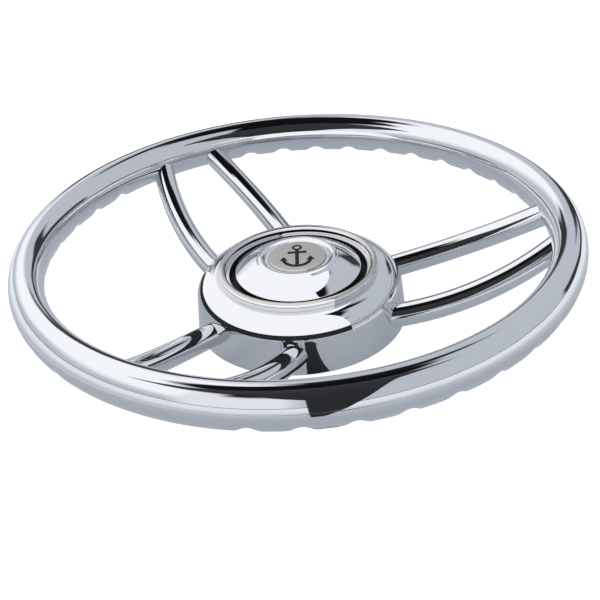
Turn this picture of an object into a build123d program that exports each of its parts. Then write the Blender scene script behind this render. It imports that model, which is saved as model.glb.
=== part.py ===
"""Ship steering wheel: a dished stainless wheel with a grip rim, three pairs of tubular
spokes, a bell-shaped hub and a push-in centre cap.

Millimetres. +Z is the wheel's axis and points at the helmsman. The origin is the middle of
the hub's back face. +X is the middle of spoke pair 1, and +Y is up on the emblem.
"""

import os
from math import cos, radians, sin, sqrt

from build123d import *

os.makedirs("parts", exist_ok=True)

# ---- Driving dimensions ----

# Rim
wheel_diameter = 350.0
rim_width = 20.8            # radial
rim_height = 27.3           # along the axis
rim_end_radius = 8.3        # top and bottom arcs of the oval section
rim_wall = 2.0
rim_plane = 55.5            # height of the section's middle over the hub's back face
rim_seam_rise = 2.0         # the seam's height over the section's middle
grip_count = 10             # valleys in each group
grip_pitch = 9.0            # degrees
grip_turn = 2.0             # degrees from midway between two spoke pairs to a group's middle
grip_depth = 2.8
grip_valley_radius = 9.0
grip_floor_wall = 1.7       # wall left under a valley

# Spokes
pair_angles = (0.0, 120.0, 240.0)
spoke_diameter = 14.8
spoke_wall = 1.5
spoke_hub_offset = 28.8     # sideways from the pair's middle line, at the hub
spoke_hub_height = 13.0
spoke_rim_angle = 7.3       # degrees from the pair's middle line, at the rim
spoke_rim_drop = 5.2        # below the rim's plane, at the end
spoke_rim_depth = 4.6       # past the rim's inner side, before the end is coped
spoke_bow = 7.0
spoke_bow_tilt = 45.0       # degrees below the wheel's plane
spoke_inset = 11.0          # straight length inside the bell

# Bell
bell_base_radius = 67.0
bell_shoulder_radius = 65.2
bell_height = 34.0
bell_shoulder_arc = 14.0
bell_wall = 2.0

# Bezel and cap socket
bezel_outer_radius = 50.3
bezel_inner_radius = 45.8
bezel_height = 4.9
bezel_edge_round = 2.1
socket_floor = 28.0
socket_wall = 2.2
socket_flange = 2.0
collar_radius = 35.06       # bore that the cap pushes into
collar_wall = 2.2
collar_depth = 8.0          # below the groove's floor
bezel_screw_count = 6
bezel_screw_diameter = 2.5
bezel_screw_head = 4.4
bezel_screw_head_height = 1.6
bezel_screw_bite = 2.4      # thread length in the bezel

# Centre cap
cap_radius = 39.7
cap_seat = 33.0             # height of the collar's top, where the cap rests
cap_edge = 2.0              # thickness of the cap's rim
cap_dome_radius = 72.0
cap_clearance = 0.06        # running fit of the skirt in the collar
cap_skirt_wall = 2.6
cap_skirt_length = 11.0
bead_outer_radius = 25.6
bead_inner_radius = 20.5
bead_rise = 1.7
seal_section = 1.9
seal_depth = 5.0            # middle of the seal under the cap's seat
emblem_radius = 18.2
emblem_thickness = 2.0
emblem_rise = 1.2           # over the channel round it
emblem_floor_wall = 1.6
inlay_depth = 0.4
anchor_height = 27.0
anchor_bar = 2.4
anchor_arm = 9.6            # outer radius of the curved arms
anchor_eye = 3.2
anchor_stock = 12.0

# Plate, ring and boss
plate_recess = 0.5
plate_thickness = 3.0
ring_gap = 8.2              # between the ring and the bell's shoulder
ring_width = 11.0
ring_height = 17.0
boss_radius = 16.0
boss_height = 20.0
boss_flange_radius = 30.0
boss_flange_thickness = 5.0
shaft_diameter = 19.05      # 3/4 in, at the boss's back face
shaft_taper = 1.0 / 12.0    # on diameter
key_width = 4.76            # 3/16 in
key_depth = 2.4
plate_screw_count = 6
plate_screw_circle = 23.0
plate_screw_diameter = 5.0
plate_screw_clearance = 0.25
plate_screw_head = 9.0
plate_screw_head_height = 2.7

# Shaft nut, 1/2-20 half height
nut_across_flats = 19.05
nut_height = 7.94
nut_bore = 11.51
washer_diameter = 28.0
washer_bore = 13.2
washer_thickness = 2.0

# ---- Worked-out sizes ----

rim_radius = (wheel_diameter - rim_width) / 2
rim_seam = rim_plane + rim_seam_rise
side_centre = rim_height / 2 - rim_end_radius
side_radius = ((rim_width / 2) ** 2 + side_centre ** 2 - rim_end_radius ** 2) / (rim_width - 2 * rim_end_radius)
bell_arc_centre = (bell_shoulder_radius - bell_shoulder_arc, bell_height - bell_shoulder_arc)
plate_top = plate_recess + plate_thickness
ring_outer_radius = bell_shoulder_radius - ring_gap
ring_inner_radius = ring_outer_radius - ring_width
boss_flange_top = plate_top + boss_flange_thickness
cap_skirt_radius = collar_radius - cap_clearance
cap_edge_top = cap_seat + cap_edge
dome_centre = cap_edge_top - sqrt(cap_dome_radius ** 2 - cap_radius ** 2)
channel_level = dome_centre + sqrt(cap_dome_radius ** 2 - bead_outer_radius ** 2)
emblem_top = channel_level + emblem_rise
emblem_base = emblem_top - emblem_thickness
bezel_screw_circle = (bezel_outer_radius + bezel_inner_radius) / 2
flange_base = bell_height - bell_wall - socket_flange
nut_base = boss_height + washer_thickness


def write(part, label):
    """Label a finished piece and write it to its own file."""
    part.label = label
    export_step(part, f"parts/{label}.step")


def oval(inset):
    """The rim's section: two end arcs and two side arcs, all tangent to each other."""
    end = rim_end_radius - inset
    turn = side_centre / (side_radius - rim_end_radius)
    across = end * sqrt(1 - turn ** 2)
    up = side_centre + end * turn
    top = side_centre + end
    half = rim_width / 2 - inset
    with BuildLine() as outline:
        ThreePointArc((rim_radius - across, rim_plane + up), (rim_radius, rim_plane + top),
                      (rim_radius + across, rim_plane + up))
        ThreePointArc((rim_radius + across, rim_plane + up), (rim_radius + half, rim_plane),
                      (rim_radius + across, rim_plane - up))
        ThreePointArc((rim_radius + across, rim_plane - up), (rim_radius, rim_plane - top),
                      (rim_radius - across, rim_plane - up))
        ThreePointArc((rim_radius - across, rim_plane - up), (rim_radius - half, rim_plane),
                      (rim_radius - across, rim_plane + up))
    return outline.edges()


def in_pair(x, y, z, angle):
    """A point given along and across a spoke pair's middle line."""
    turn = radians(angle)
    return Vector(x * cos(turn) - y * sin(turn), x * sin(turn) + y * cos(turn), z)


def spoke_points(angle, side):
    """Start, middle and end of a spoke's bend, from the bell's wall to inside the rim."""
    start_x = sqrt(bell_shoulder_radius ** 2 - spoke_hub_offset ** 2)
    end_radius = rim_radius - rim_width / 2 + spoke_rim_depth
    start = Vector(start_x, spoke_hub_offset, spoke_hub_height)
    end = Vector(end_radius * cos(radians(spoke_rim_angle)), end_radius * sin(radians(spoke_rim_angle)),
                 rim_plane - spoke_rim_drop)
    chord = (end - start).normalized()
    bow = Vector(0, cos(radians(spoke_bow_tilt)), -sin(radians(spoke_bow_tilt)))
    bow = (bow - chord * bow.dot(chord)).normalized()
    middle = (start + end) * 0.5 + bow * spoke_bow
    return [in_pair(p.X, side * p.Y, p.Z, angle) for p in (start, middle, end)]


def spoke_solid(angle, side, radius, reach=0.0):
    """A round bar along a spoke's line; reach lengthens its hub end."""
    with BuildPart() as bar:
        with BuildLine() as route:
            bend = ThreePointArc(*spoke_points(angle, side))
            inner = bend @ 0 - (bend % 0) * (spoke_inset + reach)
            Line(inner, bend @ 0)
        with BuildSketch(Plane(origin=inner, z_dir=bend % 0)):
            Circle(radius)
        sweep(path=route.wires()[0])
    return bar.part


def anchor_outline():
    """A plain anchor for the current sketch, upright on the emblem."""
    top = anchor_height / 2
    fluke = 2.2 * anchor_bar
    with Locations((0, anchor_arm - top)):
        Circle(anchor_arm)
        Circle(anchor_arm - anchor_bar, mode=Mode.SUBTRACT)
        with Locations((0, anchor_arm * 0.75)):
            Rectangle(3 * anchor_arm, anchor_arm * 1.5, mode=Mode.SUBTRACT)
    for side in (1, -1):
        with Locations((side * (anchor_arm - anchor_bar / 2), anchor_arm - top)):
            RegularPolygon(fluke / 2, 3, rotation=90)
    with Locations((0, top - anchor_eye)):
        Circle(anchor_eye)
        Circle(anchor_eye - anchor_bar * 0.6, mode=Mode.SUBTRACT)
    shank = anchor_height - 2 * anchor_eye + 0.3 * anchor_bar
    with Locations((0, shank / 2 - top)):
        Rectangle(anchor_bar, shank)
    with Locations((0, top - 2 * anchor_eye - 1.2 * anchor_bar)):
        Rectangle(anchor_stock, anchor_bar)


# ---- Rim ----

with BuildPart() as rim_body:
    with BuildSketch(Plane.XZ):
        make_face(oval(0))
    revolve(axis=Axis.Z)

with BuildPart() as rim_upper_shell:
    with BuildSketch(Plane.XZ):
        make_face(oval(0))
        make_face(oval(rim_wall), mode=Mode.SUBTRACT)
        with Locations((rim_radius, rim_seam - rim_height)):
            Rectangle(2 * rim_width, 2 * rim_height, mode=Mode.SUBTRACT)
    revolve(axis=Axis.Z)
write(rim_upper_shell.part, "rim_upper_shell")

grip_floor = rim_plane - rim_height / 2 + grip_depth + grip_floor_wall
groove_radius = rim_height / 2 - grip_depth + grip_valley_radius
groove_angles = [
    pair_angle + 60 + grip_turn + (k - (grip_count - 1) / 2) * grip_pitch
    for pair_angle in pair_angles
    for k in range(grip_count)
]

with BuildPart() as grip_hollow:
    with BuildSketch(Plane.XZ):
        make_face(oval(rim_wall))
        with Locations((rim_radius, grip_floor - rim_height)):
            Rectangle(2 * rim_width, 2 * rim_height, mode=Mode.SUBTRACT)
    revolve(axis=Axis.Z)

with BuildPart() as rim_grip_shell:
    with BuildSketch(Plane.XZ):
        make_face(oval(0))
        with Locations((rim_radius, rim_seam + rim_height)):
            Rectangle(2 * rim_width, 2 * rim_height, mode=Mode.SUBTRACT)
    revolve(axis=Axis.Z)
    add(grip_hollow.part, mode=Mode.SUBTRACT)
    for groove_angle in groove_angles:
        turn = radians(groove_angle)
        with Locations(Plane(origin=(rim_radius * cos(turn), rim_radius * sin(turn), rim_plane),
                             z_dir=(-sin(turn), cos(turn), 0))):
            Torus(groove_radius, grip_valley_radius, mode=Mode.SUBTRACT)
write(rim_grip_shell.part, "rim_grip_shell")

# ---- Spokes ----

spokes = [(number, angle, name, side)
          for number, angle in enumerate(pair_angles, 1)
          for name, side in (("left", 1), ("right", -1))]
spoke_bars = [spoke_solid(angle, side, spoke_diameter / 2) for _, angle, _, side in spokes]

for (number, angle, name, side), bar in zip(spokes, spoke_bars):
    with BuildPart() as spoke:
        add(bar)
        add(spoke_solid(angle, side, spoke_diameter / 2 - spoke_wall, reach=1), mode=Mode.SUBTRACT)
        add(rim_body.part, mode=Mode.SUBTRACT)
    write(spoke.part, f"spoke_{number}_{name}")

# ---- Hub casing ----

arc_x, arc_z = bell_arc_centre
inner_arc = bell_shoulder_arc - bell_wall

with BuildPart() as hub_bell:
    with BuildSketch(Plane.XZ):
        with BuildLine():
            Line((bell_base_radius, 0), (bell_shoulder_radius, arc_z))
            CenterArc(bell_arc_centre, bell_shoulder_arc, 0, 90)
            Polyline((arc_x, bell_height), (bezel_inner_radius, bell_height),
                     (bezel_inner_radius, bell_height - bell_wall), (arc_x, bell_height - bell_wall))
            CenterArc(bell_arc_centre, inner_arc, 0, 90)
            Polyline((arc_x + inner_arc, arc_z), (bell_base_radius - bell_wall, 0), (bell_base_radius, 0))
        make_face()
    revolve(axis=Axis.Z)
    for bar in spoke_bars:
        add(bar, mode=Mode.SUBTRACT)
    with Locations((0, 0, bell_height)):
        with PolarLocations(bezel_screw_circle, bezel_screw_count):
            Hole(bezel_screw_diameter / 2, depth=bell_wall)
write(hub_bell.part, "hub_bell")

with BuildPart() as bezel_ring:
    with BuildSketch(Plane.XZ) as bezel_section:
        with Locations((bezel_screw_circle, bell_height + bezel_height / 2)):
            Rectangle(bezel_outer_radius - bezel_inner_radius, bezel_height)
        fillet(bezel_section.vertices().group_by(Axis.Y)[-1], bezel_edge_round)
    revolve(axis=Axis.Z)
    with Locations((0, 0, bell_height)):
        with PolarLocations(bezel_screw_circle, bezel_screw_count):
            Cylinder(bezel_screw_diameter / 2, bezel_screw_bite,
                     align=(Align.CENTER, Align.CENTER, Align.MIN), mode=Mode.SUBTRACT)
write(bezel_ring.part, "bezel_ring")

socket_side = bezel_inner_radius
collar_outer = collar_radius + collar_wall

with BuildPart() as cap_socket:
    with BuildSketch(Plane.XZ):
        with BuildLine():
            Polyline((bezel_outer_radius, flange_base), (bezel_outer_radius, flange_base + socket_flange),
                     (socket_side, flange_base + socket_flange), (socket_side, bell_height),
                     (socket_side - socket_wall, bell_height),
                     (socket_side - socket_wall, socket_floor), (collar_outer, socket_floor),
                     (collar_outer, cap_seat), (collar_radius, cap_seat),
                     (collar_radius, socket_floor - collar_depth),
                     (collar_outer, socket_floor - collar_depth),
                     (collar_outer, socket_floor - socket_wall), (socket_side, socket_floor - socket_wall),
                     (socket_side, flange_base), close=True)
        make_face()
    revolve(axis=Axis.Z)
    with Locations((0, 0, flange_base + socket_flange)):
        with PolarLocations(bezel_screw_circle, bezel_screw_count):
            Hole(bezel_screw_diameter / 2, depth=socket_flange)
write(cap_socket.part, "cap_socket")

with BuildPart() as bezel_screws:
    with PolarLocations(bezel_screw_circle, bezel_screw_count):
        with Locations((0, 0, flange_base)):
            Cylinder(bezel_screw_diameter / 2, bell_height - flange_base + bezel_screw_bite,
                     align=(Align.CENTER, Align.CENTER, Align.MIN))
            Cylinder(bezel_screw_head / 2, bezel_screw_head_height,
                     align=(Align.CENTER, Align.CENTER, Align.MAX))
write(bezel_screws.part, "bezel_screws")

# ---- Centre cap ----

skirt_inner = cap_skirt_radius - cap_skirt_wall
seal_height = cap_seat - seal_depth
bead_middle = (bead_outer_radius + bead_inner_radius) / 2
cap_underside = emblem_base - emblem_floor_wall
dome_middle = (cap_radius + bead_outer_radius) / 2

with BuildPart() as centre_cap:
    with BuildSketch(Plane.XZ):
        with BuildLine():
            Polyline((0, cap_underside), (0, emblem_base), (emblem_radius, emblem_base),
                     (emblem_radius, channel_level), (bead_inner_radius, channel_level))
            ThreePointArc((bead_inner_radius, channel_level), (bead_middle, channel_level + bead_rise),
                          (bead_outer_radius, channel_level))
            ThreePointArc((bead_outer_radius, channel_level),
                          (dome_middle, dome_centre + sqrt(cap_dome_radius ** 2 - dome_middle ** 2)),
                          (cap_radius, cap_edge_top))
            Polyline((cap_radius, cap_edge_top), (cap_radius, cap_seat), (cap_skirt_radius, cap_seat),
                     (cap_skirt_radius, cap_seat - cap_skirt_length),
                     (skirt_inner, cap_seat - cap_skirt_length), (skirt_inner, cap_seat),
                     (bead_inner_radius, cap_underside), (0, cap_underside))
        make_face()
        with Locations((cap_skirt_radius, seal_height)):
            Rectangle(2 * seal_section, seal_section, mode=Mode.SUBTRACT)
    revolve(axis=Axis.Z)
write(centre_cap.part, "centre_cap")

with BuildPart() as cap_o_ring:
    with Locations((0, 0, seal_height)):
        Torus(cap_skirt_radius - seal_section / 2, seal_section / 2)
write(cap_o_ring.part, "cap_o_ring")

with BuildPart() as emblem_disc:
    with BuildSketch(Plane.XY.offset(emblem_base)):
        Circle(emblem_radius)
    extrude(amount=emblem_thickness)
    with BuildSketch(Plane.XY.offset(emblem_top)):
        anchor_outline()
    extrude(amount=-inlay_depth, mode=Mode.SUBTRACT)
write(emblem_disc.part, "emblem_disc")

with BuildPart() as emblem_anchor:
    with BuildSketch(Plane.XY.offset(emblem_top)):
        anchor_outline()
    extrude(amount=-inlay_depth)
write(emblem_anchor.part, "emblem_anchor")

# ---- Plate, ring and boss ----

plate_radius = bell_base_radius - bell_wall

with BuildPart() as bell_hollow:
    with BuildSketch(Plane.XZ):
        with BuildLine():
            Polyline((0, 0), (plate_radius, 0), (arc_x + inner_arc, arc_z), (0, arc_z), close=True)
        make_face()
    revolve(axis=Axis.Z)

with BuildPart() as hub_plate:
    with BuildSketch(Plane.XY.offset(plate_recess)):
        Circle(bell_base_radius)
        Circle(boss_radius, mode=Mode.SUBTRACT)
        with PolarLocations(plate_screw_circle, plate_screw_count):
            Circle(plate_screw_diameter / 2, mode=Mode.SUBTRACT)
    extrude(amount=plate_thickness)
    add(bell_hollow.part, mode=Mode.INTERSECT)
    for bar in spoke_bars:
        add(bar, mode=Mode.SUBTRACT)
write(hub_plate.part, "hub_plate")

with BuildPart() as spoke_ring:
    with BuildSketch(Plane.XY.offset(plate_top)):
        Circle(ring_outer_radius)
        Circle(ring_inner_radius, mode=Mode.SUBTRACT)
    extrude(amount=ring_height)
    for bar in spoke_bars:
        add(bar, mode=Mode.SUBTRACT)
write(spoke_ring.part, "spoke_ring")

bore_radius = shaft_diameter / 2
bore_top_radius = bore_radius - boss_height * shaft_taper / 2

with BuildPart() as hub_boss:
    with BuildSketch(Plane.XZ):
        with BuildLine():
            Polyline((bore_radius, 0), (boss_radius, 0), (boss_radius, plate_top),
                     (boss_flange_radius, plate_top), (boss_flange_radius, boss_flange_top),
                     (boss_radius, boss_flange_top), (boss_radius, boss_height),
                     (bore_top_radius, boss_height), close=True)
        make_face()
    revolve(axis=Axis.Z)
    with BuildSketch():
        with Locations((0, bore_radius)):
            Rectangle(key_width, 2 * key_depth)
    extrude(amount=boss_height, mode=Mode.SUBTRACT)
    with Locations((0, 0, boss_flange_top)):
        with PolarLocations(plate_screw_circle, plate_screw_count):
            Hole(plate_screw_diameter / 2 + plate_screw_clearance, depth=boss_flange_thickness)
write(hub_boss.part, "hub_boss")

with BuildPart() as plate_screws:
    with PolarLocations(plate_screw_circle, plate_screw_count):
        with Locations((0, 0, boss_flange_top)):
            Cylinder(plate_screw_diameter / 2, boss_flange_thickness + plate_thickness,
                     align=(Align.CENTER, Align.CENTER, Align.MAX))
            Cylinder(plate_screw_head / 2, plate_screw_head_height,
                     align=(Align.CENTER, Align.CENTER, Align.MIN))
write(plate_screws.part, "plate_screws")

# ---- Shaft nut ----

with BuildPart() as nut_washer:
    with BuildSketch(Plane.XY.offset(boss_height)):
        Circle(washer_diameter / 2)
        Circle(washer_bore / 2, mode=Mode.SUBTRACT)
    extrude(amount=washer_thickness)
write(nut_washer.part, "nut_washer")

with BuildPart() as shaft_nut:
    with BuildSketch(Plane.XY.offset(nut_base)):
        RegularPolygon(nut_across_flats / 2, 6, major_radius=False)
        Circle(nut_bore / 2, mode=Mode.SUBTRACT)
    extrude(amount=nut_height)
write(shaft_nut.part, "shaft_nut")
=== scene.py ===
# %% [markdown]
# # Ship steering wheel, from bare frame to polished steel
# The wheel is a yacht's helm: a hollow grip rim, three pairs of bent tubes, a bell-shaped
# hub and a push-in centre cap, nearly all of it stainless steel buffed to a mirror.
# A mirror has hardly any colour of its own, so two things make it: surfaces that curve
# without a single flat facet, and a studio worth reflecting. The first half of this lesson
# turns, spins and bends the pieces. The second half gives them their finishes and light.

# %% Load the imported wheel
from math import asin, atan2, cos, degrees, hypot, pi, radians, sin, sqrt

import bpy
from mathutils import Matrix, Vector


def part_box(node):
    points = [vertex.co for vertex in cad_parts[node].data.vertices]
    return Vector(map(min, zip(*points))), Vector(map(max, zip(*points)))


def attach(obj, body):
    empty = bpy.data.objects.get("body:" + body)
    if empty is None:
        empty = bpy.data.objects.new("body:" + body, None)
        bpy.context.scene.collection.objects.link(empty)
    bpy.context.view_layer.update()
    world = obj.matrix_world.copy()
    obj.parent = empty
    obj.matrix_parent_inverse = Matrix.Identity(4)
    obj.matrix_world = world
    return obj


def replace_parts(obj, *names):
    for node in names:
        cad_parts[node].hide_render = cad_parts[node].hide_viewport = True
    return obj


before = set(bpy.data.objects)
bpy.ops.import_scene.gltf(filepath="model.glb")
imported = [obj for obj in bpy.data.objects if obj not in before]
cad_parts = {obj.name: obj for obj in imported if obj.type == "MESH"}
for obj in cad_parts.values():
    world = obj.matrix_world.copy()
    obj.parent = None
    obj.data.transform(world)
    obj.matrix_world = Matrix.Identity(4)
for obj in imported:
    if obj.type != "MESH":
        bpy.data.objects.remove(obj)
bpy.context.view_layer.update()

MM = 0.001

# %% [markdown]
# ## Sizes
# The frame is in metres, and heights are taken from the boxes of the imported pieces. The
# sizes that no box shows, such as an arc's radius, are those of the drawing.

# %% Sizes read from the frame
shells_low, shells_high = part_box("rim_grip_shell"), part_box("rim_upper_shell")
wheel_radius = shells_low[1].x
rim_bottom, rim_top = shells_low[0].z, shells_high[1].z
rim_seam = shells_high[0].z
rim_plane = (rim_bottom + rim_top) / 2
emblem_base, emblem_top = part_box("emblem_disc")[0].z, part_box("emblem_disc")[1].z
print("wheel radius %.1f mm, rim plane %.2f mm" % (wheel_radius / MM, rim_plane / MM))

# %% Sizes from the drawing
rim_width = 20.8 * MM
rim_end_radius = 8.3 * MM
rim_wall = 2.0 * MM
rim_radius = wheel_radius - rim_width / 2
side_centre = (rim_top - rim_bottom) / 2 - rim_end_radius
side_radius = (((rim_width / 2) ** 2 + side_centre ** 2 - rim_end_radius ** 2)
               / (rim_width - 2 * rim_end_radius))
tangent = asin(side_centre / (side_radius - rim_end_radius))
print("rim section: end arcs %.1f mm, side arcs %.2f mm" % (rim_end_radius / MM, side_radius / MM))

# %% [markdown]
# ## Helpers for modelling
# Blender's operators act on whatever is selected, so every step starts from an empty
# selection. Most of this wheel is round about one axis. A lathe is the natural way to
# make such a piece, and Spin is Blender's lathe: draw half of the section as a chain of
# edges, then spin it once round the axis. It gives an even mesh with clean poles.

# %% Selecting
def only(piece):
    """Leaves edit mode, and selects and activates this one object."""
    if bpy.context.object and bpy.context.object.mode != "OBJECT":
        bpy.ops.object.mode_set(mode="OBJECT")
    bpy.ops.object.select_all(action="DESELECT")
    if piece:
        piece.select_set(True)
        bpy.context.view_layer.objects.active = piece


def pick(piece, kind, test):
    """In edit mode, selects the faces or vertices that pass a test of their place and normal."""
    bpy.ops.mesh.select_mode(type="FACE" if kind == "faces" else "VERT")
    bpy.ops.mesh.select_all(action="DESELECT")
    bpy.ops.object.mode_set(mode="OBJECT")
    if kind == "faces":
        for face in piece.data.polygons:
            face.select = test(face.center, face.normal)
    else:
        for vertex in piece.data.vertices:
            vertex.select = test(vertex.co, vertex.normal)
    bpy.ops.object.mode_set(mode="EDIT")


def use_modifier(piece, kind, **settings):
    """Adds a modifier, sets it and applies it."""
    only(piece)
    modifier = piece.modifiers.new(kind.title(), kind)
    for name, value in settings.items():
        setattr(modifier, name, value)
    bpy.ops.object.modifier_apply(modifier=modifier.name)


def combine(piece, operation, other):
    """Joins or cuts a piece with another by a boolean, and deletes the other."""
    use_modifier(piece, "BOOLEAN", operation=operation, object=other, solver="EXACT")
    only(other)
    bpy.ops.object.delete()


def set_in_place():
    """Writes the new object's place, turn and size into its mesh, and returns the object."""
    bpy.ops.object.transform_apply(location=True, rotation=True, scale=True)
    return bpy.context.object


def soften(piece, edge, segments=3):
    """Rounds the sharp edges, and keeps flats flat to the eye."""
    if edge:
        use_modifier(piece, "BEVEL", width=edge, segments=segments, limit_method="ANGLE",
                     angle_limit=radians(30), use_clamp_overlap=True)
    only(piece)
    bpy.ops.object.shade_smooth_by_angle(angle=radians(32))
    use_modifier(piece, "WEIGHTED_NORMAL", keep_sharp=True)
    return piece


# %% Drawing a section
def arc(x, z, radius, start, stop, steps):
    """Points on an arc of the section, angles in degrees."""
    turns = [radians(start + (stop - start) * k / steps) for k in range(steps + 1)]
    return [(x + radius * cos(t), z + radius * sin(t)) for t in turns]


def run(start, stop, steps):
    """Points on a straight run of the section, its start left out."""
    return [(start[0] + (stop[0] - start[0]) * k / steps,
             start[1] + (stop[1] - start[1]) * k / steps) for k in range(1, steps + 1)]


def in_mm(points):
    """A section drawn in millimetres, in metres."""
    return [(x * MM, z * MM) for x, z in points]


# %% The lathe
def outlined(name, points):
    """Draws a closed chain of edges through the points, and stays in edit mode."""
    only(None)
    bpy.ops.mesh.primitive_plane_add(size=MM, location=points[0])
    piece = bpy.context.object
    piece.name = piece.data.name = name
    only(piece)
    bpy.ops.object.transform_apply(location=True, rotation=True, scale=True)
    bpy.ops.object.mode_set(mode="EDIT")
    bpy.ops.mesh.select_mode(type="VERT")
    bpy.ops.mesh.select_all(action="SELECT")
    bpy.ops.mesh.merge(type="CENTER")
    here = Vector(points[0])
    for there in [*points[1:], points[0]]:
        bpy.ops.mesh.extrude_region_move(TRANSFORM_OT_translate={"value": Vector(there) - here})
        here = Vector(there)
    bpy.ops.mesh.select_all(action="SELECT")
    bpy.ops.mesh.remove_doubles(threshold=0.001 * MM)
    return piece


def turned(name, section, edge=0.0, steps=256):
    """Spins a closed section round the wheel's axis into a solid piece."""
    piece = outlined(name, [(x, 0, z) for x, z in section])
    bpy.ops.mesh.spin(steps=steps, angle=2 * pi, center=(0, 0, 0), axis=(0, 0, 1))
    bpy.ops.mesh.select_all(action="SELECT")
    bpy.ops.mesh.remove_doubles(threshold=0.002 * MM)
    bpy.ops.mesh.dissolve_degenerate(threshold=0.001 * MM)
    bpy.ops.mesh.normals_make_consistent(inside=False)
    bpy.ops.object.mode_set(mode="OBJECT")
    soften(piece, edge)
    print(name, len(piece.data.polygons), "faces")
    return piece


# %% [markdown]
# ## The camera
# The wheel is looked at from a little over its rim, as it would lie on a table. The
# camera aims slightly below the rim's middle and leans to one side.

# %% Set the camera
view_turn = radians(2.04)
view_height = radians(28.944)
view_distance = 625.5 * MM
yaw, pitch, lean = 0.0008, -0.0608, 0.0849
focal_length, sensor = 60.51, 36.0

ahead = Vector((0, cos(view_height), -sin(view_height)))
right = Vector((1, 0, 0))
up = right.cross(ahead)
ahead, right = (Matrix.Rotation(yaw, 3, up) @ v for v in (ahead, right))
ahead, up = (Matrix.Rotation(pitch, 3, right) @ v for v in (ahead, up))
right, up = (Matrix.Rotation(lean, 3, ahead) @ v for v in (right, up))
about_axis = Matrix.Rotation(view_turn, 4, "Z")
place = Vector((0, -view_distance * cos(view_height), view_distance * sin(view_height)))
look = Matrix((right, up, -ahead)).transposed().to_4x4()

only(None)
bpy.ops.object.camera_add()
camera = bpy.context.object
camera.name = "Camera"
camera.matrix_world = (about_axis @ Matrix.Translation(place + Vector((0, 0, rim_plane))) @ look)
camera.data.lens, camera.data.sensor_width = focal_length, sensor
camera.data.clip_start, camera.data.clip_end = 0.02, 60
bpy.context.scene.camera = camera
print("camera", round(view_distance / MM), "mm from the rim's middle")

# %% [markdown]
# ## The rim
# The real rim is pressed from sheet as two half shells, which are welded and buffed. Its
# section is an oval of four arcs that run into each other. Each half is spun from its
# own section, walls and all, and the fine groove where they meet is the small rounding
# of their edges. One angle, the direction that the surface faces, describes the oval.

# %% Rim section
def rim_point(facing, inset):
    """A point on the rim's oval where the surface faces that way, this deep under it."""
    side, end = side_radius - inset, rim_end_radius - inset
    offset = side_radius - rim_width / 2
    x = rim_radius
    if abs(sin(facing)) < sin(tangent):
        x += -offset if cos(facing) > 0 else offset
        return (x + side * cos(facing), rim_plane + side * sin(facing))
    z = side_centre if sin(facing) > 0 else -side_centre
    return (x + end * cos(facing), rim_plane + z + end * sin(facing))


def rim_run(start, stop, inset, steps):
    """Points along the oval between two facings."""
    return [rim_point(start + (stop - start) * k / steps, inset) for k in range(steps + 1)]


seam_rise = rim_seam - rim_plane
seam_out = asin(seam_rise / side_radius)
seam_in = asin(seam_rise / (side_radius - rim_wall))
print("seam faces %.1f degrees over level" % degrees(seam_out))

# %% Spin the two shells
rim_steps = 960
seam_edge = 0.22 * MM
upper_section = (rim_run(seam_out, pi - seam_out, 0, 40)
                 + rim_run(pi - seam_in, seam_in, rim_wall, 14))
upper_shell = turned("Rim_Upper_Skin", upper_section, seam_edge, rim_steps // 2)

grip_floor = rim_bottom + 4.5 * MM   # the hollow's floor, clear of the valleys
inner_wall = [point for point in rim_run(2 * pi + seam_in, pi - seam_in, rim_wall, 24)
              if point[1] > grip_floor]
grip_section = rim_run(pi - seam_out, 2 * pi + seam_out, 0, 46) + inner_wall
grip_shell = turned("Rim_Grip_Skin", grip_section, seam_edge, rim_steps)

# %% [markdown]
# The underside has three groups of ten finger valleys. On the real wheel they are pressed
# in. A boolean cut would leave a knife edge at every crest, so the valleys are pushed in
# by a Displace modifier. A vertex group says how deep each point goes: a groove of round
# section that wraps the rim, with its crests eased as buffing leaves them.

# %% Press in the finger valleys
valley_count, valley_pitch, group_turn = 10, radians(9), radians(2)
valley_depth, valley_radius = 2.8 * MM, 9.0 * MM
crest_ease, crest_reach = 0.5 * MM, 6.0 * MM
grips_under, skin_from, least_press = 3 * MM, 9.6 * MM, 0.01 * MM
valley_centre = (rim_top - rim_bottom) / 2 - valley_depth + valley_radius
group_middles = [radians(60 + 120 * k) + group_turn for k in range(3)]
valleys = [middle + (k - (valley_count - 1) / 2) * valley_pitch
           for middle in group_middles for k in range(valley_count)]


def valley_reach(point):
    """How deep a surface point is pressed in towards the middle of the rim's section."""
    out = hypot(point.x, point.y)
    from_middle = hypot(out - rim_radius, point.z - rim_plane)
    across = min(abs(out * sin(Vector(point.xy).angle_signed(Vector((cos(a), sin(a))), 0)))
                 if point.x * cos(a) + point.y * sin(a) > 0 else 1 for a in valleys)
    floor = valley_centre - sqrt(max(valley_radius ** 2 - across ** 2, 0))
    over = from_middle - floor
    eased = (over + hypot(over, crest_ease)) / 2
    return eased - (hypot(crest_reach, crest_ease) - crest_reach) / 2


only(grip_shell)
depths = grip_shell.vertex_groups.new(name="valleys")
outer_faces = [v for v in grip_shell.data.vertices
               if v.co.z < rim_plane - grips_under
               and hypot(hypot(v.co.x, v.co.y) - rim_radius, v.co.z - rim_plane) > skin_from
               and v.normal.z < 0.5]
for vertex in outer_faces:
    reach = valley_reach(vertex.co)
    if reach > least_press:
        depths.add([vertex.index], min(reach / (2 * valley_depth), 1), "REPLACE")
use_modifier(grip_shell, "DISPLACE", vertex_group="valleys", direction="NORMAL",
             strength=-2 * valley_depth, mid_level=0)
grip_shell.vertex_groups.clear()
print(len(valleys), "valleys,", len(outer_faces), "points")

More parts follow.
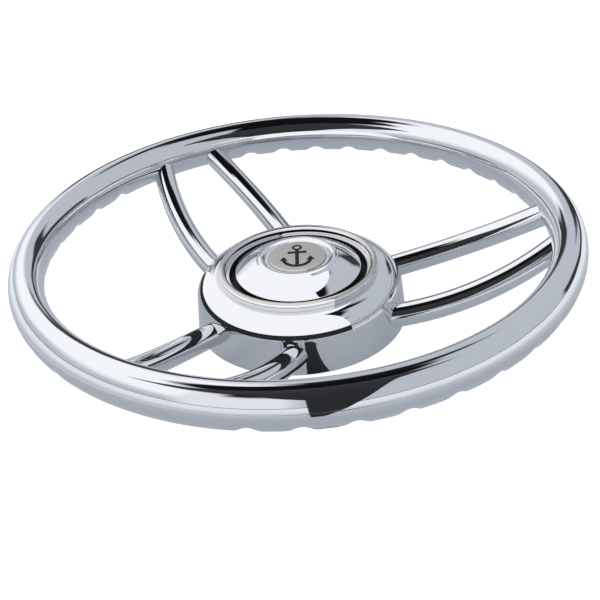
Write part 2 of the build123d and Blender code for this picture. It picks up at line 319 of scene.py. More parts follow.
# %% [markdown]
# ## The spokes
# Each spoke is a bent tube. It leaves the bell nearly level, then bows out and up to the
# rim. A ring of points at the bell is spun about the middle of the bend, which is what a
# tube bender does, and a straight end goes on through the bell's wall. One spoke is
# modelled, mirrored for its partner, and the pair is copied round.

# %% Bend of a spoke
spoke_radius = 7.4 * MM
spoke_inset = 11.0 * MM
shoulder_radius = 65.2 * MM
hub_offset, hub_height = 28.8 * MM, 13.0 * MM
rim_angle, rim_depth, rim_drop = radians(7.3), 4.6 * MM, 5.2 * MM
rim_reach = rim_radius - rim_width / 2 + rim_depth
start = Vector((sqrt(shoulder_radius ** 2 - hub_offset ** 2), hub_offset, hub_height))
stop = Vector((rim_reach * cos(rim_angle), rim_reach * sin(rim_angle), rim_plane - rim_drop))
chord = stop - start
bow = Vector((0, cos(pi / 4), -sin(pi / 4)))
bow = (bow - chord.normalized() * bow.dot(chord.normalized())).normalized()
sagitta = 7.0 * MM
bend_radius = (chord.length ** 2 / 4 + sagitta ** 2) / (2 * sagitta)
bend_centre = (start + stop) / 2 + bow * (sagitta - bend_radius)
bend_axis = (start - bend_centre).cross(stop - bend_centre).normalized()
bend_angle = 2 * asin(chord.length / 2 / bend_radius)
leaving = bend_axis.cross(start - bend_centre).normalized()
print("bend radius %.0f mm through %.1f degrees" % (bend_radius / MM, degrees(bend_angle)))

# %% Bend the first spoke and copy it round
only(None)
bpy.ops.mesh.primitive_circle_add(vertices=72, radius=spoke_radius, location=start,
                                  rotation=leaving.to_track_quat("Z", "Y").to_euler())
spoke = set_in_place()
bpy.ops.object.mode_set(mode="EDIT")
bpy.ops.mesh.select_all(action="SELECT")
bpy.ops.mesh.spin(steps=60, angle=-bend_angle, center=bend_centre, axis=bend_axis)
pick(spoke, "vertices", lambda place, normal: abs((place - start).dot(leaving)) < 0.01 * MM)
bpy.ops.mesh.extrude_region_move(TRANSFORM_OT_translate={"value": -leaving * spoke_inset})
bpy.ops.mesh.select_all(action="SELECT")
bpy.ops.mesh.fill_holes(sides=0)
bpy.ops.mesh.remove_doubles(threshold=0.001 * MM)
bpy.ops.mesh.normals_make_consistent(inside=False)
only(spoke)
bpy.ops.object.shade_smooth_by_angle(angle=radians(32))

spokes = {}
for number in (1, 2, 3):
    for name, side in (("left", 1), ("right", -1)):
        only(spoke)
        bpy.ops.object.duplicate(linked=False)
        copy = bpy.context.object
        copy.name = copy.data.name = f"Spoke_{number}_{name.title()}"
        copy.scale.y = side
        bpy.ops.object.transform_apply(scale=True)
        copy.rotation_euler.z = radians(120 * (number - 1))
        bpy.ops.object.transform_apply(rotation=True)
        bpy.ops.object.mode_set(mode="EDIT")
        bpy.ops.mesh.select_all(action="SELECT")
        bpy.ops.mesh.normals_make_consistent(inside=False)
        only(copy)
        spokes[f"spoke_{number}_{name}"] = copy
only(spoke)
bpy.ops.object.delete()
print(len(spokes), "spokes")

# %% [markdown]
# ## The hub
# The bell is one deep-drawn shell with a broad round shoulder. On its flat top sits the
# bezel, a solid ring with both edges rounded over, and inside that a stepped socket drops
# down to the collar that holds the cap. All three are lathe work, and the sizes of
# turned pieces are in millimetres until in_mm takes their sections to metres.

# %% Turn the bell
bell_foot, bell_shoulder, bell_top, bell_wall = 67.0, 65.2, 34.0, 2.0
mouth, shoulder_arc = 45.8, 14.0
arc_x, arc_z = bell_shoulder - shoulder_arc, bell_top - shoulder_arc
bell = turned("Hub_Bell", in_mm(
    [(bell_foot, 0)] + run((bell_foot, 0), (bell_shoulder, arc_z), 10)[:-1]
    + arc(arc_x, arc_z, shoulder_arc, 0, 90, 40) + run((arc_x, bell_top), (mouth, bell_top), 2)
    + [(mouth, bell_top - bell_wall), (arc_x, bell_top - bell_wall)]
    + arc(arc_x, arc_z, shoulder_arc - bell_wall, 90, 0, 16)[1:]
    + [(bell_foot - bell_wall, 0)]), 0.3 * MM, 320)

# %% Turn the bezel and the socket
bezel_out, bezel_top, bezel_round = 50.3, 38.9, 2.1
bezel = turned("Bezel_Ring", in_mm(
    [(bezel_out, bell_top), (bezel_out, bezel_top - bezel_round)]
    + arc(bezel_out - bezel_round, bezel_top - bezel_round, bezel_round, 0, 90, 14)[1:]
    + arc(mouth + bezel_round, bezel_top - bezel_round, bezel_round, 90, 180, 14)
    + [(mouth, bell_top)]), 0.3 * MM)

seat, groove_floor, collar_in, collar_foot, socket_wall = 33.0, 28.0, 35.06, 20.0, 2.2
flange_top, flange_wall = bell_top - bell_wall, 2.0
collar_out, groove_out = collar_in + socket_wall, mouth - socket_wall
socket = turned("Cap_Socket", in_mm([
    (bezel_out, flange_top - flange_wall), (bezel_out, flange_top), (mouth, flange_top),
    (mouth, bell_top), (groove_out, bell_top), (groove_out, groove_floor),
    (collar_out, groove_floor), (collar_out, seat), (collar_in, seat),
    (collar_in, collar_foot), (collar_out, collar_foot),
    (collar_out, groove_floor - socket_wall), (mouth, groove_floor - socket_wall),
    (mouth, flange_top - flange_wall)]), 0.25 * MM)

# %% [markdown]
# The cap is a shallow dome with a raised bead and a flat channel where the emblem disc
# sits. Its skirt pushes into the collar, and a rubber ring in a groove grips it.

# %% Turn the cap, its seal and the disc
edge_top, dome_radius, cap_radius = 35.0, 72.0, 39.7
bead_out, bead_in, bead_rise = 25.6, 20.5, 1.7
dome_centre = edge_top - sqrt(dome_radius ** 2 - cap_radius ** 2)
channel = dome_centre + sqrt(dome_radius ** 2 - bead_out ** 2)
disc_radius, disc_gap, disc_edge, disc_floor = 18.2, 0.05, 0.45, 1.6
disc_base, disc_top = emblem_base / MM, emblem_top / MM
underside = disc_base - disc_floor
bead_half = (bead_out - bead_in) / 2
bead_radius = (bead_half ** 2 + bead_rise ** 2) / (2 * bead_rise)
bead_swing = degrees(asin(bead_half / bead_radius))
seal_height, seal_section, seal_steps = seat - 5.0, 1.9, 24
skirt_out, skirt_in, skirt_foot = 35.0, 32.4, 22.0
dome_from = 90 - degrees(asin(bead_out / dome_radius))
dome_to = 90 - degrees(asin(cap_radius / dome_radius))

cap = turned("Centre_Cap", in_mm(
    [(0, underside), (0, disc_base), (disc_radius, disc_base), (disc_radius, channel)]
    + arc((bead_out + bead_in) / 2, channel + bead_rise - bead_radius, bead_radius,
          90 + bead_swing, 90 - bead_swing, 18)
    + arc(0, dome_centre, dome_radius, dome_from, dome_to, 24)[1:]
    + [(cap_radius, seat), (skirt_out, seat), (skirt_out, seal_height + seal_section / 2),
       (skirt_out - seal_section, seal_height + seal_section / 2),
       (skirt_out - seal_section, seal_height - seal_section / 2),
       (skirt_out, seal_height - seal_section / 2), (skirt_out, skirt_foot),
       (skirt_in, skirt_foot), (skirt_in, seat), (bead_in, underside)]), 0.22 * MM)

seal = turned("Cap_O_Ring", in_mm(
    arc(skirt_out - seal_section / 2, seal_height, seal_section / 2,
        0, 360 - 360 / seal_steps, seal_steps - 1)), 0, 160)

disc = turned("Emblem_Disc", in_mm(
    [(0, disc_base), (disc_radius - disc_gap, disc_base),
     (disc_radius - disc_gap, disc_top - disc_edge),
     (disc_radius - disc_gap - disc_edge, disc_top), (0, disc_top)]), 0.18 * MM, 192)

# %% [markdown]
# The emblem is a plain anchor in black enamel. Its ring, shank, stock, arms and flukes
# are drawn as separate flat shapes, joined by boolean unions so that no walls are left
# inside, and a small bevel gives the enamel its rounded edge.

# %% Lay the anchor
inlay_depth, inlay_rise = 0.4 * MM, 0.12 * MM
anchor_bottom, anchor_thickness = emblem_top - inlay_depth, inlay_depth + inlay_rise
anchor_height, anchor_bar, stock_length = 27 * MM, 2.4 * MM, 12 * MM
arm_radius, eye_radius = 9.6 * MM, 3.2 * MM
half = anchor_height / 2


def slab(x, y, width, height, turn=0.0):
    """A flat bar of the anchor, centred at x and y."""
    only(None)
    bpy.ops.mesh.primitive_cube_add(size=1, location=(x, y, anchor_bottom + anchor_thickness / 2),
                                    rotation=(0, 0, turn), scale=(width, height, anchor_thickness))
    return set_in_place()


def hoop(x, y, outer, width, keep_below=None):
    """A flat ring of the anchor, cut off over a height if one is given."""
    only(None)
    bpy.ops.mesh.primitive_circle_add(vertices=96, radius=outer, fill_type="NGON",
                                      location=(x, y, anchor_bottom))
    made = set_in_place()
    bpy.ops.object.mode_set(mode="EDIT")
    bpy.ops.mesh.select_all(action="SELECT")
    bpy.ops.mesh.inset(thickness=width)
    bpy.ops.mesh.delete(type="FACE")
    bpy.ops.mesh.select_all(action="SELECT")
    if keep_below is not None:
        bpy.ops.mesh.bisect(plane_co=(0, keep_below, 0), plane_no=(0, 1, 0), clear_outer=True)
        bpy.ops.mesh.select_all(action="SELECT")
    bpy.ops.mesh.extrude_region_move(TRANSFORM_OT_translate={"value": (0, 0, anchor_thickness)})
    bpy.ops.mesh.select_all(action="SELECT")
    bpy.ops.mesh.normals_make_consistent(inside=False)
    only(made)
    return made


def fluke(side):
    """The pointed end of an arm."""
    only(None)
    bpy.ops.mesh.primitive_cylinder_add(
        vertices=3, radius=1.25 * anchor_bar, depth=anchor_thickness,
        location=(side * (arm_radius - anchor_bar / 2), arm_radius - half,
                  anchor_bottom + anchor_thickness / 2))
    return set_in_place()


shank_length = anchor_height - 2 * eye_radius + 0.3 * anchor_bar
anchor = slab(0, shank_length / 2 - half, anchor_bar, shank_length)
anchor.name = anchor.data.name = "Emblem_Anchor"
parts = [slab(0, half - 2 * eye_radius - 1.2 * anchor_bar, stock_length, anchor_bar),
         hoop(0, half - eye_radius, eye_radius, anchor_bar * 0.6),
         hoop(0, arm_radius - half, arm_radius, anchor_bar, arm_radius - half),
         fluke(1), fluke(-1)]
for part in parts:
    combine(anchor, "UNION", part)
soften(anchor, 0.1 * MM, 2)
print("anchor", len(anchor.data.polygons), "faces")

# %% [markdown]
# ## Inside the hub
# The base plate closes the bell. A ring welded to it carries the spokes, and the boss in
# the middle has the tapered, keyed bore for the steering shaft. They are machined, not
# buffed, and are seen from underneath or when the cap is out.

# %% Turn the plate, the ring and the boss
plate_bottom, plate_top, boss_step, boss_top = 0.5, 3.5, 8.5, 20.0
plate_out_low, plate_out_high = 64.95, 64.68   # the plate's edge follows the flared wall
ring_in, ring_out, ring_top = 46.0, 57.0, 20.5
bore_low, bore_high, boss_out, flange_out, fillet = 9.525, 8.69, 16.0, 30.0, 0.8
plate = turned("Hub_Plate", in_mm(
    [(boss_out, plate_bottom), (plate_out_low, plate_bottom), (plate_out_high, plate_top),
     (boss_out, plate_top)]), 0.2 * MM)
spoke_ring = turned("Spoke_Ring", in_mm(
    [(ring_in, plate_top), (ring_out, plate_top), (ring_out, ring_top), (ring_in, ring_top)]),
    0.4 * MM, 128)
boss = turned("Hub_Boss", in_mm(
    [(bore_low, 0), (boss_out, 0), (boss_out, plate_top), (flange_out, plate_top),
     (flange_out, boss_step), (boss_out + fillet, boss_step)]
    + arc(boss_out + fillet, boss_step + fillet, fillet, 270, 180, 5)[1:]
    + [(boss_out, boss_top), (bore_high, boss_top)]), 0, 192)

key_width, key_depth, key_length = 4.76 * MM, 2.4 * MM, 24 * MM
only(None)
bpy.ops.mesh.primitive_cube_add(size=1, location=(0, bore_low * MM, boss_top / 2 * MM),
                                scale=(key_width, 2 * key_depth, key_length))
combine(boss, "DIFFERENCE", set_in_place())
soften(boss, 0.35 * MM, 2)
print("boss with keyway", len(boss.data.polygons), "faces")

# %% [markdown]
# The plate screws have low round heads with hexagon sockets. One is shaped from a
# cylinder: the underside is inset and extruded into the shank, the head's edge is
# bevelled, and a six-sided cutter makes the socket. Then it is copied round the circle.

# %% Shape one plate screw and copy it
screw_circle, screw_count, shank_radius = 23 * MM, 6, 2.5 * MM
head_radius, head_height, head_base = 4.5 * MM, 2.7 * MM, boss_step * MM
head_round = 1.5 * MM
socket_corner, socket_depth = 1.75 * MM, 1.5 * MM
shank_end = (plate_bottom - 0.15) * MM   # a little proud of the plate
only(None)
bpy.ops.mesh.primitive_cylinder_add(vertices=64, radius=head_radius, depth=head_height,
                                    location=(screw_circle, 0, head_base + head_height / 2))
screw = set_in_place()
bpy.ops.object.mode_set(mode="EDIT")
pick(screw, "faces", lambda place, normal: normal.z < -0.9)
bpy.ops.mesh.inset(thickness=head_radius - shank_radius)
bpy.ops.mesh.extrude_region_move(
    TRANSFORM_OT_translate={"value": (0, 0, shank_end - head_base)})
pick(screw, "faces", lambda place, normal:
     normal.z > 0.9 and place.z > head_base + head_height / 2)
bpy.ops.mesh.bevel(offset=head_round, segments=6, affect="EDGES")
only(None)
bpy.ops.mesh.primitive_cylinder_add(vertices=6, radius=socket_corner, depth=2 * socket_depth,
                                    location=(screw_circle, 0, head_base + head_height))
combine(screw, "DIFFERENCE", set_in_place())
soften(screw, 0.08 * MM, 1)

screws = []
for k in range(screw_count):
    only(screw)
    bpy.ops.object.duplicate(linked=False)
    copy = bpy.context.object
    copy.name = copy.data.name = f"Plate_Screw_{k + 1}"
    copy.rotation_euler.z = 2 * pi * k / screw_count
    bpy.ops.object.transform_apply(rotation=True)
    screws.append(copy)
only(screw)
bpy.ops.object.delete()
print(len(screws), "plate screws")

# %% [markdown]
# The nut is a hexagon whose corners are turned off at 30 degrees. A turned barrel,
# intersected with a hexagonal prism, gives those curved chamfers exactly as a lathe
# does. The thread is cut with a ridged plug of the thread's own pitch.

# %% Washer and nut
washer_in, washer_out, nut_base = 6.6, 14.0, 22.0
washer = turned("Nut_Washer", in_mm(
    [(washer_in, boss_top), (washer_out, boss_top), (washer_out, nut_base),
     (washer_in, nut_base)]), 0.3 * MM, 128)

nut_height, across_flats, pitch = 7.94, 19.05, 1.27
thread_crest, thread_root = 5.755, 6.25
corner = across_flats / 2 / cos(pi / 6)
only(None)
bpy.ops.mesh.primitive_cylinder_add(vertices=6, radius=corner * MM, depth=nut_height * MM,
                                    location=(0, 0, (nut_base + nut_height / 2) * MM),
                                    rotation=(0, 0, pi / 6))
nut = set_in_place()
nut.name = nut.data.name = "Shaft_Nut"
face_radius = across_flats / 2 - 0.4
chamfer = (corner - face_radius) * 0.577   # the tangent of 30 degrees
nut_top = nut_base + nut_height
barrel = turned("barrel", in_mm(
    [(0, nut_base), (face_radius, nut_base), (corner, nut_base + chamfer),
     (corner + 1, nut_base + chamfer + 0.3), (corner + 1, nut_top - chamfer - 0.3),
     (corner, nut_top - chamfer), (face_radius, nut_top), (0, nut_top)]), 0, 96)
ridges = []
for k in range(-1, 7):
    ridges += [(thread_crest, nut_base + pitch * (k + 0.1)),
               (thread_root, nut_base + pitch * (k + 0.5)),
               (thread_crest, nut_base + pitch * (k + 0.9))]
plug = turned("plug", in_mm([(0, ridges[0][1])] + ridges + [(0, ridges[-1][1])]), 0, 72)
combine(nut, "INTERSECT", barrel)
combine(nut, "DIFFERENCE", plug)
soften(nut, 0)
print("nut", len(nut.data.polygons), "faces")

# %% [markdown]
# ## Finishes
# A metal's look comes from what it reflects and from how fine its scratches are. Every
# finish here keeps the metal's plain shader and adds the marks of how it was made. Small
# helpers do the typing: one turns a paint chart's hex colour to the linear colour that
# light is worked out in, one adds a node with its settings and links, and the others
# start a finish and put it on whole pieces or on chosen faces.

# %% Helpers for finishes
def colour(code):
    """An sRGB hex colour as linear red, green, blue and alpha."""
    parts = [int(code[k:k + 2], 16) / 255 for k in (1, 3, 5)]
    return tuple(c / 12.92 if c <= 0.04045 else ((c + 0.055) / 1.055) ** 2.4 for c in parts) + (1,)


def add_node(tree, kind, settings=None, **inputs):
    """Adds a node. An input given as another node's socket is linked, and a value is set."""
    made = tree.nodes.new(kind)
    for name, value in (settings or {}).items():
        setattr(made, name, value)
    for name, value in inputs.items():
        key = int(name[1:]) if name[0] == "_" and name[1:].isdigit() else name.replace("_", " ")
        if isinstance(value, bpy.types.NodeSocket):
            tree.links.new(value, made.inputs[key])
        else:
            made.inputs[key].default_value = value
    return made


def start_finish(name):
    """A new material with its node tree and main shader."""
    material = bpy.data.materials.new(name)
    material.use_nodes = True
    tree = material.node_tree
    return material, tree, tree.nodes["Principled BSDF"]


def use_finish(material, *users):
    """Puts one finish on each object."""
    for user in users:
        user.data.materials.clear()
        user.data.materials.append(material)


def put_on_faces(material, piece, test):
    """Puts a further finish on the faces that pass a test."""
    piece.data.materials.append(material)
    only(piece)
    bpy.ops.object.mode_set(mode="EDIT")
    pick(piece, "faces", test)
    piece.active_material_index = len(piece.data.materials) - 1
    bpy.ops.object.material_slot_assign()
    only(piece)


# %% [markdown]
# Mirror-polished stainless steel, grade 316. The shells, tubes and bell are buffed with
# ever finer compound, which leaves a bright, slightly cool mirror, a breath of haze that
# changes from place to place, and a very faint waviness, because a wheel buffed by hand
# is never optically flat. The waves are what make a reflection's edge waver.

# %% Mirror-polished stainless
mirror, tree, shader = start_finish("stainless_316_mirror_polished")
shader.inputs["Base Color"].default_value = colour("#DADBDE")
shader.inputs["Metallic"].default_value = 1.0
wave_size, haze_size, scratch_size = 28 * MM, 9 * MM, 0.8 * MM
place_on = add_node(tree, "ShaderNodeTexCoord")
haze = add_node(tree, "ShaderNodeTexNoise", Vector=place_on.outputs["Object"],
                Scale=1 / haze_size, Detail=4.0, Roughness=0.6)
haze_range = add_node(tree, "ShaderNodeMapRange", Value=haze.outputs["Fac"],
                      From_Min=0.35, From_Max=0.75, To_Min=0.025, To_Max=0.06)
tree.links.new(haze_range.outputs["Result"], shader.inputs["Roughness"])
waves = add_node(tree, "ShaderNodeTexNoise", Vector=place_on.outputs["Object"],
                 Scale=1 / wave_size, Detail=1.0)
scratches = add_node(tree, "ShaderNodeTexNoise", Vector=place_on.outputs["Object"],
                     Scale=1 / scratch_size, Detail=2.0)
wave_bump = add_node(tree, "ShaderNodeBump", Height=waves.outputs["Fac"], Strength=0.12,
                     Distance=2.0 * MM)
fine_bump = add_node(tree, "ShaderNodeBump", Height=scratches.outputs["Fac"], Strength=0.02,
                     Distance=0.05 * MM, Normal=wave_bump.outputs["Normal"])
tree.links.new(fine_bump.outputs["Normal"], shader.inputs["Normal"])
use_finish(mirror, upper_shell, grip_shell, bell, bezel, socket, cap, *spokes.values())
print("finish", mirror.name)

# %% [markdown]
# Turned stainless steel. A lathe tool leaves a fine spiral, so a machined face shows
# rings that catch the light as a soft fan. The real feed is about 0.15 mm; it is drawn
# at 0.5 mm so that it shows.

# %% Turned stainless
machined, tree, shader = start_finish("stainless_304_turned")
shader.inputs["Base Color"].default_value = colour("#BFBEBB")
shader.inputs["Metallic"].default_value = 1.0
shader.inputs["Anisotropic"].default_value = 0.35
ring_pitch = 0.5 * MM
place_on = add_node(tree, "ShaderNodeTexCoord")
rings = add_node(tree, "ShaderNodeTexWave",
                 {"wave_type": "RINGS", "rings_direction": "Z", "wave_profile": "SAW"},
                 Vector=place_on.outputs["Object"], Scale=1 / ring_pitch / 20 * pi,
                 Distortion=0.6, Detail=1.0, Detail_Scale=2.0)
cloud = add_node(tree, "ShaderNodeTexNoise", Vector=place_on.outputs["Object"],
                 Scale=1 / (6 * MM), Detail=5.0)
rough = add_node(tree, "ShaderNodeMapRange", Value=cloud.outputs["Fac"], From_Min=0.3,
                 From_Max=0.7, To_Min=0.24, To_Max=0.38)
tree.links.new(rough.outputs["Result"], shader.inputs["Roughness"])
bump = add_node(tree, "ShaderNodeBump", Height=rings.outputs["Fac"], Strength=0.25,
                Distance=0.03 * MM)
tree.links.new(bump.outputs["Normal"], shader.inputs["Normal"])
use_finish(machined, plate, spoke_ring, boss, washer, nut,
           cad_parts["bezel_screws"], *screws)
print("finish", machined.name)

# %% [markdown]
# Satin steel for the emblem's disc. It is brushed one way with a fine abrasive belt,
# which gives it a warm, silky grey and blurs reflections across the brushing. The lines
# are drawn 0.35 mm apart, coarser than the belt's grit, so that they show. The same warm
# satin goes on the crown of the bezel, between its bright edges, as a warm band there.

# %% Satin disc
satin, tree, shader = start_finish("stainless_304_satin_brushed")
shader.inputs["Metallic"].default_value = 1.0
place_on = add_node(tree, "ShaderNodeTexCoord")
stretch = add_node(tree, "ShaderNodeMapping", Vector=place_on.outputs["Object"],
                   Scale=(1 / (14 * MM), 1 / (0.35 * MM), 1 / (14 * MM)))
brushing = add_node(tree, "ShaderNodeTexNoise", Vector=stretch.outputs["Vector"], Scale=1.0,
                    Detail=3.0, Roughness=0.7)
tone = add_node(tree, "ShaderNodeMix", {"data_type": "RGBA"}, Factor=brushing.outputs["Fac"],
                _6=colour("#B3ABA6"), _7=colour("#D3CCC8"))
tree.links.new(tone.outputs[2], shader.inputs["Base Color"])
rough = add_node(tree, "ShaderNodeMapRange", Value=brushing.outputs["Fac"], From_Min=0.3,
                 From_Max=0.7, To_Min=0.14, To_Max=0.26)
tree.links.new(rough.outputs["Result"], shader.inputs["Roughness"])
bump = add_node(tree, "ShaderNodeBump", Height=brushing.outputs["Fac"], Strength=0.12,
                Distance=0.02 * MM)
tree.links.new(bump.outputs["Normal"], shader.inputs["Normal"])
use_finish(satin, disc)
crown = 0.7   # the least upward part of a normal on the bezel's crown
put_on_faces(satin, bezel, lambda centre, normal: normal.z > crown)
print("finish", satin.name)

# %% [markdown]
# Black enamel fills the anchor. It is fired to a low sheen, so it stays black under the
# white card, with a faint orange-peel skin and a grain of uneven black under it.

# %% Black enamel
enamel, tree, shader = start_finish("enamel_black_fired")
shader.inputs["Roughness"].default_value = 0.3
shader.inputs["Specular IOR Level"].default_value = 0.12
place_on = add_node(tree, "ShaderNodeTexCoord")
grain = add_node(tree, "ShaderNodeTexNoise", Vector=place_on.outputs["Object"],
                 Scale=1 / (1.2 * MM), Detail=3.0)
tone = add_node(tree, "ShaderNodeMix", {"data_type": "RGBA"}, Factor=grain.outputs["Fac"],
                _6=colour("#0B0B0D"), _7=colour("#1A1A1D"))
tree.links.new(tone.outputs[2], shader.inputs["Base Color"])
bump = add_node(tree, "ShaderNodeBump", Height=grain.outputs["Fac"], Strength=0.15,
                Distance=0.02 * MM)
tree.links.new(bump.outputs["Normal"], shader.inputs["Normal"])
use_finish(enamel, anchor)
print("finish", enamel.name)

# %% [markdown]
# Nitrile rubber for the cap's ring: matt black from the mould, a little chalky, and
# finely pitted. It also goes on the faces of the groove round the cap, which makes the
# groove deep black.

# %% Nitrile rubber
rubber, tree, shader = start_finish("nitrile_rubber_moulded")
shader.inputs["IOR"].default_value = 1.52
place_on = add_node(tree, "ShaderNodeTexCoord")
pits = add_node(tree, "ShaderNodeTexNoise", Vector=place_on.outputs["Object"],
                Scale=1 / (0.4 * MM), Detail=4.0)
tone = add_node(tree, "ShaderNodeMix", {"data_type": "RGBA"}, Factor=pits.outputs["Fac"],
                _6=colour("#141415"), _7=colour("#29292B"))
tree.links.new(tone.outputs[2], shader.inputs["Base Color"])
rough = add_node(tree, "ShaderNodeMapRange", Value=pits.outputs["Fac"], To_Min=0.5, To_Max=0.75)
tree.links.new(rough.outputs["Result"], shader.inputs["Roughness"])
bump = add_node(tree, "ShaderNodeBump", Height=pits.outputs["Fac"], Strength=0.3,
                Distance=0.03 * MM)
tree.links.new(bump.outputs["Normal"], shader.inputs["Normal"])
use_finish(rubber, seal)
# The faces of the groove get the black rubber, which makes the groove deep black.
black_groove_low = (groove_floor - 0.1) * MM
black_groove_in, black_groove_out = (collar_out - 0.06) * MM, (groove_out + 0.1) * MM
put_on_faces(rubber, socket, lambda centre, normal:
             centre.z > black_groove_low and black_groove_in < hypot(centre.x, centre.y) < black_groove_out)
print("finish", rubber.name)

# %% [markdown]
# ## Joining the frame
# Every piece rides on the body that its imported piece belongs to and stands for that piece.
# The bezel's screws stay the imported piece.

# %% Ride and replace
polished = {"rim_upper_shell": upper_shell, "rim_grip_shell": grip_shell, "hub_bell": bell,
            "bezel_ring": bezel, "cap_socket": socket, **spokes}
for node, piece in polished.items():
    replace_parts(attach(piece, "wheel"), node)
for node, piece in (("hub_plate", plate), ("spoke_ring", spoke_ring), ("hub_boss", boss),
                    *(("plate_screws", s) for s in screws)):
    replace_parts(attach(piece, "wheel"), node)
for node, piece, body, finish in (
        ("cap_o_ring", seal, "seal", "black_rubber"),
        ("centre_cap", cap, "cap", "polished_stainless"),
        ("emblem_disc", disc, "cap", "satin_disc"),
        ("emblem_anchor", anchor, "cap", "black_enamel"),
        ("nut_washer", washer, "washer", "machined_stainless"),
        ("shaft_nut", nut, "nut", "machined_stainless")):
    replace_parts(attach(piece, body), node)

# %% [markdown]
# ## The studio
# Polished steel is photographed inside a tent of white cloth with black flags beside
# and over it: the white gives the metal its brightness, and the flags draw the dark
# lines that tell the eye how it curves. The tent is painted on the world by direction,
# one soft-edged panel after another, so it lights the wheel evenly. The backdrop that the
# camera itself sees is plain white, and the floor is plain and pale.

# %% The tent
world = bpy.data.worlds.new("Studio")
bpy.context.scene.world = world
world.use_nodes = True
tree = world.node_tree
tree.nodes.clear()
heading = add_node(tree, "ShaderNodeTexCoord").outputs["Generated"]
height = add_node(tree, "ShaderNodeSeparateXYZ", Vector=heading).outputs["Z"]
rise = add_node(tree, "ShaderNodeMath", {"operation": "ARCSINE"}, _0=height).outputs[0]
TENT, WHITE, SOFT = (0.66, 0.70, 0.76, 1), (1.27, 1.28, 1.30, 1), (1.05, 1.07, 1.11, 1)
HORIZON, SMOKE, BLACK = (0.3, 0.3, 0.32, 1), (0.05, 0.05, 0.055, 1), (0.008, 0.008, 0.009, 1)
# azimuth, half width, elevation, half height, soft edge in degrees, and colour
panels = [
    (164, 66, 42, 26, 9, WHITE),        # the big white side behind and to the left
    (-114, 20, 18, 26, 6, SOFT),        # a softer white beside the camera
    (0, 200, 0.5, 1.2, 1.0, HORIZON),   # the seam between tent and floor
    (66, 46, 3, 6, 2, SMOKE),           # the dark room beyond the tent's open back
    (0, 200, 80, 15, 3, BLACK),         # the black ceiling
    (72, 24, 60, 8, 4, BLACK),          # its apron at the back
    (-105, 50, 59, 12, 4, BLACK),       # its apron over the camera
    (-98, 24, 46, 8, 4, BLACK),         # the apron's lower lobe
    (101, 9, 6, 18, 3, SMOKE),          # a dark gap in the back wall
    (62, 7, 7, 17, 3, SMOKE),           # a second gap
]
tent = None
for azimuth, half_width, elevation, half_height, edge, panel_colour in panels:
    turned_to = add_node(tree, "ShaderNodeVectorRotate", {"rotation_type": "Z_AXIS"},
                         Vector=heading, Angle=radians(-azimuth)).outputs[0]
    parts = add_node(tree, "ShaderNodeSeparateXYZ", Vector=turned_to)
    bearing = add_node(tree, "ShaderNodeMath", {"operation": "ARCTAN2"}, _0=parts.outputs["Y"],
                       _1=parts.outputs["X"]).outputs[0]
    off_side = add_node(tree, "ShaderNodeMath", {"operation": "ABSOLUTE"}, _0=bearing).outputs[0]
    off_rise = add_node(tree, "ShaderNodeMath", {"operation": "SUBTRACT"}, _0=rise,
                        _1=radians(elevation)).outputs[0]
    off_rise = add_node(tree, "ShaderNodeMath", {"operation": "ABSOLUTE"}, _0=off_rise).outputs[0]
    inside = [add_node(tree, "ShaderNodeMapRange", {"interpolation_type": "SMOOTHSTEP"}, Value=off,
                       From_Min=radians(half - edge), From_Max=radians(half + edge),
                       To_Min=1.0, To_Max=0.0).outputs[0]
              for off, half in ((off_side, half_width), (off_rise, half_height))]
    mask = add_node(tree, "ShaderNodeMath", {"operation": "MULTIPLY"}, _0=inside[0], _1=inside[1])
    tent = add_node(tree, "ShaderNodeMix", {"data_type": "RGBA"}, Factor=mask.outputs[0],
                    _6=TENT if tent is None else tent, _7=panel_colour).outputs[2]
seen = add_node(tree, "ShaderNodeLightPath").outputs["Is Camera Ray"]
backdrop = add_node(tree, "ShaderNodeMix", {"data_type": "RGBA"}, Factor=seen,
                    _6=tent, _7=(1, 1, 1, 1))
glow = add_node(tree, "ShaderNodeBackground", Color=backdrop.outputs[2], Strength=1.0)
add_node(tree, "ShaderNodeOutputWorld", Surface=glow.outputs[0])
print(len(panels), "panels")

# %% [markdown]
# Close over the hub hangs a white card, bent like a bowl with its right side cut away,
# which fills the bell's shoulder with clean white. A black hem draws the line under the
# shoulder. In front of the camera stands a black flag shaped like a funnel, and on the floor
# under the near spokes lies a black strip of painted shade. They draw the black band on the
# near side of the rim and the dark line down the bell. Only reflections see the three of them.

# %% The hub's card
card_radius, card_centre = 76 * MM, 20 * MM
card_from, card_to, card_lid = radians(-203), radians(-58), radians(58)
card_low, hem_low = radians(8), radians(2)
only(None)
bpy.ops.mesh.primitive_uv_sphere_add(segments=144, ring_count=90, radius=card_radius,
                                     location=(0, 0, card_centre))
card = set_in_place()
card.name = "Hub_Card"
bpy.ops.object.mode_set(mode="EDIT")


def face_rise(normal):
    """How far over level a face of the ball looks."""
    return asin(max(-1, min(1, normal.z)))


def off_card(centre, normal):
    """Whether a face of the ball lies outside the card."""
    turn = atan2(normal.y, normal.x)
    turn -= 2 * pi if turn > card_to else 0
    return face_rise(normal) < card_lid and (turn < card_from or face_rise(normal) < hem_low)


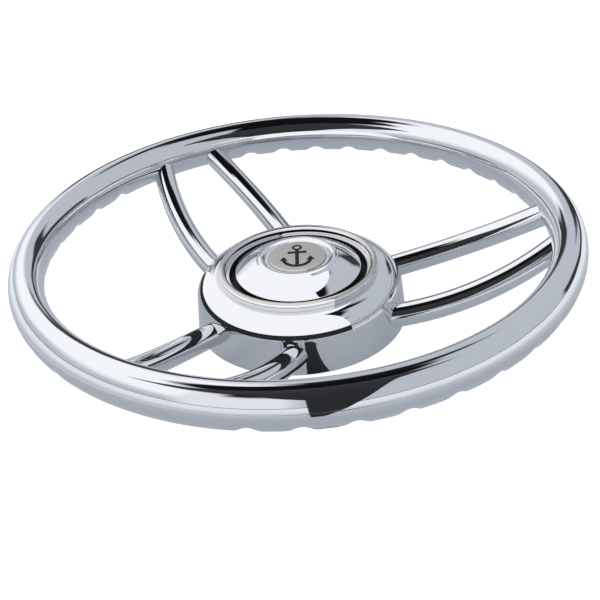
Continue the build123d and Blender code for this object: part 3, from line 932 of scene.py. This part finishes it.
pick(card, "faces", off_card)
bpy.ops.mesh.delete(type="FACE")
only(card)
cloth, tree, shader = start_finish("studio_white_card")
lit_side = add_node(tree, "ShaderNodeNewGeometry").outputs["Backfacing"]
clear = add_node(tree, "ShaderNodeBsdfTransparent")
lit = add_node(tree, "ShaderNodeEmission", Color=WHITE, Strength=1.0)
one_sided = add_node(tree, "ShaderNodeMixShader", _0=lit_side,
                     _1=clear.outputs[0], _2=lit.outputs[0])
tree.links.new(one_sided.outputs[0], tree.nodes["Material Output"].inputs["Surface"])
use_finish(cloth, card)
velvet_and_painted_shade, tree, shader = start_finish("studio_black_velvet_and_painted_shade")
shader.inputs["Base Color"].default_value = colour("#38383A")
shader.inputs["Roughness"].default_value = 1.0
put_on_faces(velvet_and_painted_shade, card, lambda centre, normal: face_rise(normal) < card_low)
print("card", len(card.data.polygons), "faces")

# %% The flag, and the strip of painted shade
def sheet(name, corners):
    """A flat sheet with this outline, squared up to the camera."""
    made = outlined(name, corners)
    bpy.ops.mesh.edge_face_add()
    only(made)
    bpy.ops.transform.rotate(value=-view_turn, orient_axis="Z", center_override=(0, 0, 0))
    bpy.ops.object.transform_apply(location=True, rotation=True, scale=True)
    return made


flag_distance = 245 * MM
outline = [(14, 0), (0, 0), (-4, 100), (-40, 125), (-62, 150), (-120, 200), (-260, 300),
           (-700, 600), (500, 600), (200, 300), (120, 200), (92, 150), (70, 110)]
strip_corners = [(0, -66), (14, -66), (16, -150), (0, -150)]
strip_lift = 0.5 * MM
flag = sheet("Camera_Flag", [(x * MM, -flag_distance, z * MM) for x, z in outline])
# painted shade: a dark strip on the floor under the near spokes, seen only in reflections
strip = sheet("Floor_Painted_Shade", [(x * MM, y * MM, strip_lift) for x, y in strip_corners])
use_finish(velvet_and_painted_shade, flag, strip)
for prop in (card, flag, strip):
    prop.visible_camera = prop.visible_diffuse = prop.visible_shadow = False
print("flag and strip hung")

# %% [markdown]
# The floor's paper glows. The camera sees it evenly white. Reflections see painted light in
# that glow, with painted shade near the wheel, where the wheel would shade it, and brighter
# further out. It is clear from below, so that the underside of the wheel can be looked at.

# %% The floor
only(None)
bpy.ops.mesh.primitive_plane_add(size=30, location=(0, 0, 0))
floor = bpy.context.object
floor.name = "Floor"
paper, tree, shader = start_finish("studio_floor_paper")
shader.inputs["Base Color"].default_value = colour("#9A9C9F")
shader.inputs["Roughness"].default_value = 0.9
shader.inputs["Specular IOR Level"].default_value = 0.0
seen = add_node(tree, "ShaderNodeLightPath").outputs["Is Camera Ray"]
place_on = add_node(tree, "ShaderNodeTexCoord")
away = add_node(tree, "ShaderNodeVectorMath", {"operation": "LENGTH"},
                _0=place_on.outputs["Object"])
# painted shade near the wheel, giving way to painted light further out, in the floor's glow
painted_shade_radius, painted_light_radius = 180 * MM, 480 * MM
painted_shade_mask = add_node(tree, "ShaderNodeMapRange", {"interpolation_type": "SMOOTHSTEP"},
                  Value=away.outputs["Value"], From_Min=painted_shade_radius, From_Max=painted_light_radius)
painted_floor_glow = add_node(tree, "ShaderNodeMix", {"data_type": "RGBA"}, Factor=painted_shade_mask.outputs[0],
                     _6=(0.32, 0.345, 0.375, 1), _7=(0.82, 0.85, 0.88, 1))
# the camera sees an even white glow; reflections see the painted light and shade
floor_glow = add_node(tree, "ShaderNodeMix", {"data_type": "RGBA"}, Factor=seen,
                 _6=painted_floor_glow.outputs[2], _7=(0.95, 0.95, 0.95, 1))
tree.links.new(floor_glow.outputs[2], shader.inputs["Emission Color"])
shader.inputs["Emission Strength"].default_value = 1.0
under = add_node(tree, "ShaderNodeNewGeometry").outputs["Backfacing"]
clear = add_node(tree, "ShaderNodeBsdfTransparent")
one_sided = add_node(tree, "ShaderNodeMixShader", _0=under,
                     _1=shader.outputs[0], _2=clear.outputs[0])
tree.links.new(one_sided.outputs[0], tree.nodes["Material Output"].inputs["Surface"])
use_finish(paper, floor)
bpy.context.scene.view_settings.view_transform = "Standard"
print("floor ready")

# %% Clear the selection
only(None)
